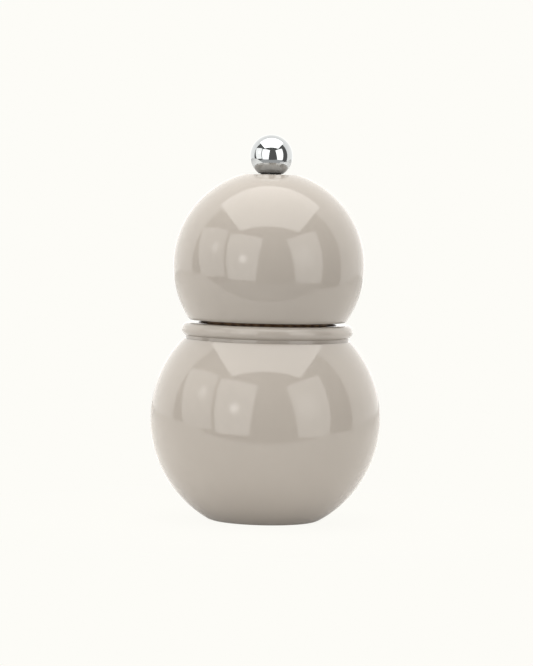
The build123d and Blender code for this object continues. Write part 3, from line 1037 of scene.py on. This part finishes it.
# %% The sweep, the table and the floor
PAPER = (0.982, 0.973, 0.930)
WARM_WHITE = (1.0, 0.99, 0.97)
sweep_radius = 1.2
sweep_foot = -0.25
sweep_top = 3.2
sweep_left_edge = 104
sweep_right_edge = 96
sweep_steps = 24
sweep_low_strength = 1.45
sweep_high_strength = 1.3
sweep_dims_from = 0.4
sweep_dims_to = 1.8


def make_sweep_glow():
    """The lamps stand on the floor behind the cloth, so the wall dims with height."""
    material = glow("sweep_glow", DAYLIGHT, sweep_high_strength)
    place = add_node(material, "ShaderNodeNewGeometry").outputs["Position"]
    parts = add_node(material, "ShaderNodeSeparateXYZ")
    join(material, place, parts.inputs["Vector"])
    emission = next(node for node in material.node_tree.nodes if node.type == "EMISSION")
    dimmed = spread(
        material,
        parts.outputs["Z"],
        sweep_low_strength,
        sweep_high_strength,
        sweep_dims_from,
        sweep_dims_to,
    )
    join(material, dimmed, emission.inputs["Strength"])
    return material


def make_sweep():
    """The white wall round the back of the mill. It starts lower than the table, and its edges are
    stated in degrees to the left and to the right, counted from the camera's side."""
    mesh = bpy.data.meshes.new("sweep")
    span = 360 - sweep_left_edge - sweep_right_edge
    vertices = []
    for step in range(sweep_steps + 1):
        turn = radians(sweep_right_edge + span * step / sweep_steps)
        across, back = sweep_radius * sin(turn), -sweep_radius * cos(turn)
        vertices += [(across, back, sweep_foot), (across, back, sweep_top)]
    faces = [(2 * i, 2 * i + 1, 2 * i + 3, 2 * i + 2) for i in range(sweep_steps)]
    mesh.from_pydata(vertices, [], faces)
    mesh.materials.append(make_sweep_glow())
    sweep = bpy.data.objects.new("sweep", mesh)
    bpy.context.scene.collection.objects.link(sweep)
    sweep.visible_camera = False


def make_white_board():
    """Milk-white acrylic with a little light from below, which softens the shadow at the foot."""
    material = bpy.data.materials.new("white_board")
    material.use_nodes = True
    shader = material.node_tree.nodes["Principled BSDF"]
    shader.inputs["Base Color"].default_value = (0.66, 0.65, 0.635, 1.0)
    shader.inputs["Roughness"].default_value = 0.8
    shader.inputs["Emission Color"].default_value = (*DAYLIGHT, 1.0)
    shader.inputs["Emission Strength"].default_value = 0.16
    return material


floor_glow_near = 0.97
floor_glow_far = 1.0
floor_fade_from = 0.03
floor_fade_to = 0.10


def make_floor_paper():
    """Paper lit so evenly that it all but glows, with a breath of shadow near the mill."""
    material, shader, coordinates = start_material("floor_paper")
    shader.inputs["Base Color"].default_value = (0.70, 0.69, 0.66, 1.0)
    shader.inputs["Roughness"].default_value = 0.9
    emission = add_node(material, "ShaderNodeEmission")
    emission.inputs["Color"].default_value = (*PAPER, 1.0)
    away = distance_from_axis(material, coordinates)
    fade = spread(material, away, floor_glow_near, floor_glow_far, floor_fade_from, floor_fade_to)
    mixed = add_node(material, "ShaderNodeMixShader")
    join(material, fade, mixed.inputs[0])
    join(material, shader.outputs["BSDF"], mixed.inputs[1])
    join(material, emission.outputs["Emission"], mixed.inputs[2])
    output = next(n for n in material.node_tree.nodes if n.type == "OUTPUT_MATERIAL")
    join(material, mixed.outputs["Shader"], output.inputs["Surface"])
    return material


make_sweep()

table_height = -0.0004
table_corners = [
    (-0.60, -0.03, table_height),
    (-0.30, -0.105, table_height),
    (0.18, -0.105, table_height),
    (0.45, 0.15, table_height),
    (1.20, 1.20, table_height),
    (-1.20, 1.20, table_height),
]
card("table", table_corners, make_white_board())

studio_floor_corners = level_corners(half_width=2.0, front=-2.1, back=-0.2, height=-0.70)
card("studio_floor", studio_floor_corners, glow("studio_floor_glow", WARM_WHITE, strength=0.62))

floor_reach = 6.0
floor_corners = level_corners(floor_reach, -floor_reach, floor_reach, height=-0.0002)
floor = card("floor", floor_corners, make_floor_paper(), camera=True)
for ray in ("diffuse", "glossy", "transmission", "shadow"):
    setattr(floor, "visible_" + ray, False)

# %% [markdown]
# ## The room
#
# The world is the room beyond the cards: dark to the lacquer, and the same pale paper as the floor to
# the camera.

# %% The room
ROOM_TONE = (0.165, 0.163, 0.158)


def make_room():
    world = bpy.data.worlds.new("room")
    world.use_nodes = True
    tree = world.node_tree
    tree.nodes.clear()
    room = tree.nodes.new("ShaderNodeBackground")
    room.inputs["Color"].default_value = (*ROOM_TONE, 1.0)
    paper = tree.nodes.new("ShaderNodeBackground")
    paper.inputs["Color"].default_value = (*PAPER, 1.0)
    seen = tree.nodes.new("ShaderNodeLightPath")
    mixed = tree.nodes.new("ShaderNodeMixShader")
    output = tree.nodes.new("ShaderNodeOutputWorld")
    tree.links.new(seen.outputs["Is Camera Ray"], mixed.inputs[0])
    tree.links.new(room.outputs["Background"], mixed.inputs[1])
    tree.links.new(paper.outputs["Background"], mixed.inputs[2])
    tree.links.new(mixed.outputs["Shader"], output.inputs["Surface"])
    bpy.context.scene.world = world


make_room()
bpy.context.scene.view_settings.view_transform = "Standard"

# %% [markdown]
# ## The camera
#
# A long lens from ninety centimetres, a little below the level of the head's top and looking slightly
# down, with a small roll that gives the mill its lean.

# %% The camera
camera_place = Vector((0, -0.90, 0.102))
degrees_down = 2.777
camera_tilt = radians(90 - degrees_down)
camera_roll = radians(1.35)
camera_lens = 156.4
camera_film_width = 36.0
camera_shift = -0.0011

camera_data = bpy.data.cameras.new("camera")
camera_data.lens = camera_lens
camera_data.sensor_width = camera_film_width
camera_data.shift_x = camera_shift
camera = bpy.data.objects.new("camera", camera_data)
bpy.context.scene.collection.objects.link(camera)
camera.matrix_world = (
    Matrix.Translation(camera_place)
    @ Euler((camera_tilt, 0, 0)).to_matrix().to_4x4()
    @ Matrix.Rotation(camera_roll, 4, "Z")
)
bpy.context.scene.camera = camera
